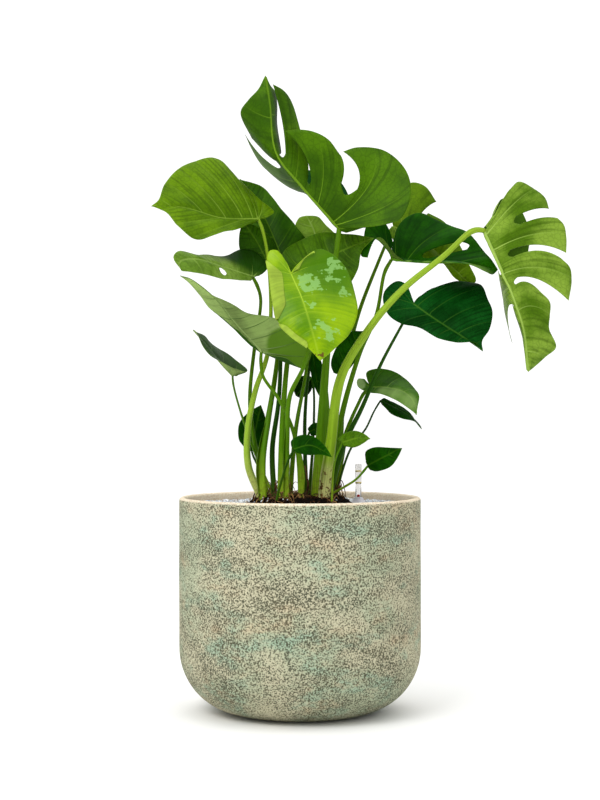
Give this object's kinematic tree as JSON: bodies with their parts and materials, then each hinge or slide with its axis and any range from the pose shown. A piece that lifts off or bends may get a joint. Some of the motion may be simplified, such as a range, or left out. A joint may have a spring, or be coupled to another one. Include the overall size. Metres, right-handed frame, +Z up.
{
  "type": "potted monstera plant",
  "caption": "Split-leaf climbing plant with broad and juvenile heart-shaped leaves on slender stalks, in a round stoneware pot with soil, white granules and a water-level gauge.",
  "frame": {"origin": "centre of the pot's flat foot, on the surface that the pot stands on", "axes": "+Z up, out of the pot, along the plant's height; -Y towards the front, where the bright leaf hangs; +X to the front's right, where the long stalk leans"},
  "size_m": [0.5824, 0.34, 0.8861],
  "materials": {
    "stoneware": "matte",
    "potting_soil": "matte",
    "white_granules": "matte",
    "blade_bright": "gloss",
    "blade_fresh": "satin",
    "blade_mid": "satin",
    "blade_underside": "matte",
    "blade_dark": "satin",
    "stalk_pale": "satin",
    "stalk_green": "satin",
    "stalk_dark": "satin",
    "root_brown": "matte",
    "gauge_clear": "gloss",
    "gauge_grey": "satin",
    "gauge_red": "satin"
  },
  "bodies": {
    "planter": {"pot": "stoneware", "soil": "potting_soil", "granule_crust": "white_granules", "leaf_top_split": "blade_mid", "stalk_top_split": "stalk_pale", "leaf_left_broad": "blade_fresh", "stalk_left_broad": "stalk_pale", "leaf_left_rear": "blade_mid", "stalk_left_rear": "stalk_pale", "leaf_small_top": "blade_fresh", "stalk_small_top": "stalk_green", "leaf_centre": "blade_mid", "stalk_centre": "stalk_pale", "leaf_front_bright": "blade_bright", "stalk_front_bright": "stalk_green", "leaf_left_edgewise": "blade_underside", "stalk_left_edgewise": "stalk_dark", "leaf_left_pale": "blade_underside", "stalk_left_pale": "stalk_green", "leaf_low_left": "blade_underside", "stalk_low_left": "stalk_dark", "leaf_low_dark": "blade_dark", "stalk_low_dark": "stalk_dark", "leaf_right_slotted": "blade_dark", "stalk_right_slotted": "stalk_green", "leaf_rear_right": "blade_mid", "stalk_rear_right": "stalk_green", "leaf_right_dark": "blade_dark", "stalk_right_dark": "stalk_dark", "leaf_right_split": "blade_fresh", "stalk_right_split": "stalk_pale", "leaf_low_right_broad": "blade_mid", "stalk_low_right_broad": "stalk_green", "leaf_low_right_thin": "blade_dark", "stalk_low_right_thin": "stalk_dark", "leaf_small_front_right": "blade_mid", "stalk_small_front_right": "stalk_green", "leaf_small_front": "blade_dark", "stalk_small_front": "stalk_green", "leaf_small_low_right": "blade_dark", "stalk_small_low_right": "stalk_dark", "leaf_rear_centre": "blade_dark", "stalk_rear_centre": "stalk_dark", "leaf_narrow_hanging": "blade_dark", "stalk_narrow_hanging": "stalk_dark", "leaf_left_shaded": "blade_dark", "stalk_left_shaded": "stalk_dark", "leaf_rear_small": "blade_dark", "stalk_rear_small": "stalk_dark", "leaf_rear_tiny": "blade_dark", "stalk_rear_tiny": "stalk_dark", "root_right": "root_brown", "root_centre": "root_brown", "gauge_tube": "gauge_clear", "gauge_collar": "gauge_grey", "gauge_shaft": "gauge_grey"},
    "water_float": {"gauge_float": "gauge_red"}
  },
  "joints": [
    {"name": "float_rise", "type": "slide", "parent": "planter", "child": "water_float", "axis": [0, 0, 1], "range_m": [0, 0.035]}
  ]
}
